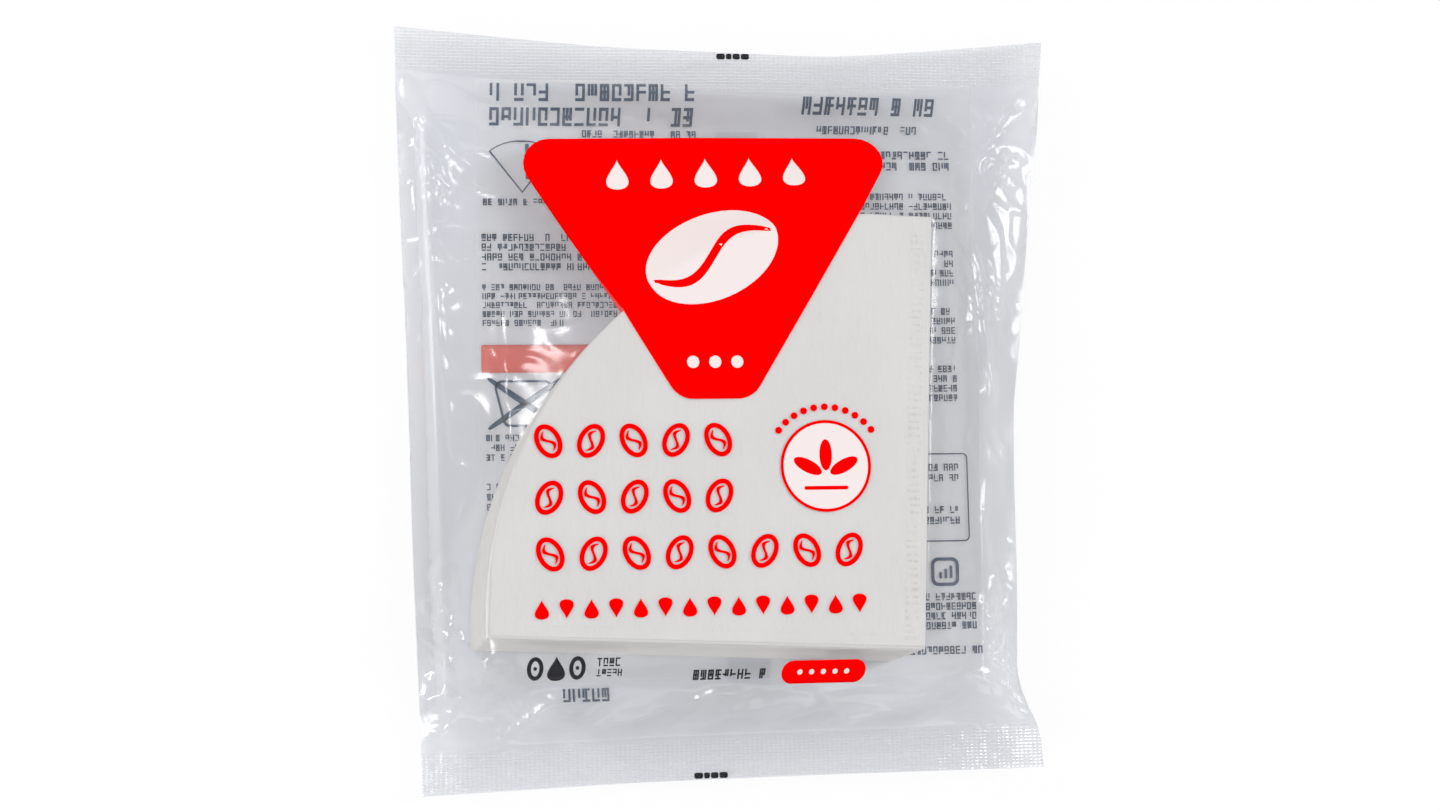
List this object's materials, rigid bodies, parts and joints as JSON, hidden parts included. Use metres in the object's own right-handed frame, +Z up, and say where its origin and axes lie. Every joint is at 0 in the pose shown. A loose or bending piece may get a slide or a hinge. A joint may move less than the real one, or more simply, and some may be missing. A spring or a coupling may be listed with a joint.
{
  "type": "paper coffee filter pack",
  "caption": "Sealed clear film pillow pack, printed in red, holding a flat stack of folded cone coffee filters with crimped edges.",
  "frame": {"origin": "middle of the pack's outline, on the surface that its back lies on", "axes": "+Y towards the top seal, +Z up out of the printed front, +X to the right when the front is seen with the top seal up"},
  "size_m": [0.185, 0.2106, 0.0286],
  "materials": {
    "clear_film": "clear gloss packing film",
    "filter_paper": "matt creped paper",
    "red_ink": "printed ink under gloss film",
    "black_ink": "printed ink under gloss film",
    "pale_ink": "pale printed ink under gloss film"
  },
  "bodies": {
    "root": {"clear_bag": "clear_film", "front_filter": "filter_paper", "filters_002_to_008": "filter_paper", "filters_009_to_015": "filter_paper", "filters_016_to_022": "filter_paper", "filters_023_to_029": "filter_paper", "filters_030_to_036": "filter_paper", "filters_037_to_043": "filter_paper", "filters_044_to_050": "filter_paper", "filters_051_to_057": "filter_paper", "filters_058_to_064": "filter_paper", "filters_065_to_071": "filter_paper", "filters_072_to_078": "filter_paper", "filters_079_to_085": "filter_paper", "filters_086_to_092": "filter_paper", "filters_093_to_099": "filter_paper", "back_filter": "filter_paper", "red_print": "red_ink", "black_print": "black_ink", "back_panel_print": "pale_ink"}
  },
  "joints": []
}
